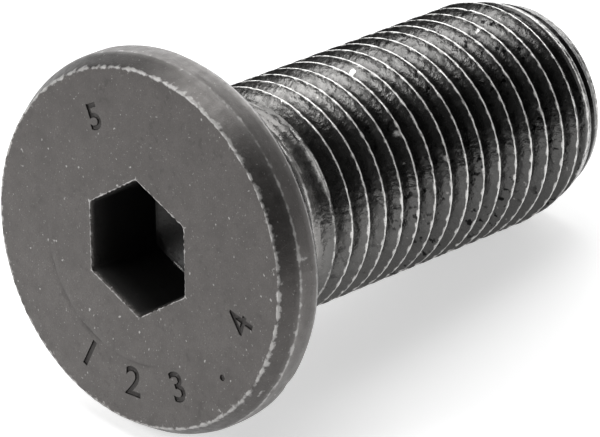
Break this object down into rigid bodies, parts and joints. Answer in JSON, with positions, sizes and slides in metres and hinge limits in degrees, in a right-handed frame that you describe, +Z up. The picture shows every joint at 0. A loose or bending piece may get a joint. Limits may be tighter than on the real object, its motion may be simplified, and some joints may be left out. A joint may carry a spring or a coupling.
{
  "type": "countersunk socket screw",
  "caption": "Countersunk screw with a bevelled rim, a flat face with a hexagon socket, and a shank threaded almost to the head.",
  "frame": {"origin": "centre of the bounding box at its base: the screw lies on a level surface at z = 0", "axes": "+X from the head towards the tip, level, in the plane of the screw's axis, which leans down towards the tip; +Z up"},
  "size_m": [0.0372, 0.023, 0.0229],
  "materials": {
    "black_steel": "black oxide, satin, worn bright on the thread crests"
  },
  "bodies": {
    "root": {"screw": "black_steel"}
  },
  "joints": []
}
